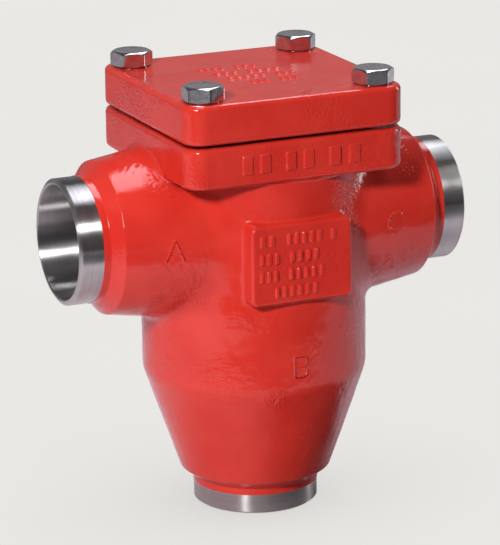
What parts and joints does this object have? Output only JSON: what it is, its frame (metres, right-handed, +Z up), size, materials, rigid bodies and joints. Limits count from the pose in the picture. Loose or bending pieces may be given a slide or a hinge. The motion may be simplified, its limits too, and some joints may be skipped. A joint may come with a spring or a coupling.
{
  "type": "thermostatic three-way valve",
  "caption": "Cast three-way weld-end valve with a bolted square cover; a wax element inside lifts a sleeve that mixes two inlets into one outlet.",
  "frame": {"origin": "centre of port B's end face, the bottom of the valve, on the vertical axis through port B and the sleeve", "axes": "+Z up from port B through the cover; -X out of port A and +X out of port C; +Y to the back, so the rating pad faces -Y"},
  "size_m": [0.2, 0.1132, 0.2186],
  "materials": {
    "red_paint": "glossy red paint over a steel casting, with slight orange peel",
    "machined_steel": "turned",
    "bolt_stainless": "cold-forged stainless steel",
    "trim_steel": "turned and faced",
    "trim_stainless": "ground",
    "spring_steel": "drawn wire",
    "brass": "turned",
    "fibre_gasket": "compressed fibre sheet",
    "rubber": "moulded",
    "wax": "cast wax with copper powder"
  },
  "bodies": {
    "casing": {"valve_body": "red_paint", "top_cover": "red_paint", "cover_gasket": "fibre_gasket", "cover_bolt_1": "bolt_stainless", "cover_bolt_2": "bolt_stainless", "cover_bolt_3": "bolt_stainless", "cover_bolt_4": "bolt_stainless", "upper_seat_ring": "trim_steel", "seat_ring_seal": "rubber", "hold_down_cage": "trim_steel", "guide_ring": "trim_steel", "guide_ring_gasket": "fibre_gasket", "sleeve_seal": "rubber", "lower_seat_disc": "trim_steel", "tie_rod_1": "trim_stainless", "tie_rod_2": "trim_stainless", "tie_rod_3": "trim_stainless", "tie_rod_nut_1": "trim_stainless", "tie_rod_nut_2": "trim_stainless", "tie_rod_nut_3": "trim_stainless", "upper_spacer_1": "trim_stainless", "upper_spacer_2": "trim_stainless", "upper_spacer_3": "trim_stainless", "lower_spacer_1": "trim_stainless", "lower_spacer_2": "trim_stainless", "lower_spacer_3": "trim_stainless", "element_piston": "trim_stainless", "spring_seat": "trim_steel", "return_spring": "spring_steel"},
    "sleeve_unit": {"control_sleeve": "trim_stainless", "element_carrier": "trim_steel", "carrier_circlip": "spring_steel", "element_guide": "brass", "element_diaphragm": "rubber", "wax_charge": "wax", "element_cup": "brass"}
  },
  "joints": [
    {"name": "sleeve_lift", "type": "slide", "parent": "casing", "child": "sleeve_unit", "axis": [0, 0, 1], "range_m": [0, 0.01], "stiffness_N_per_m": 4000, "springref_m": -0.012, "deforming": ["return_spring"]}
  ]
}
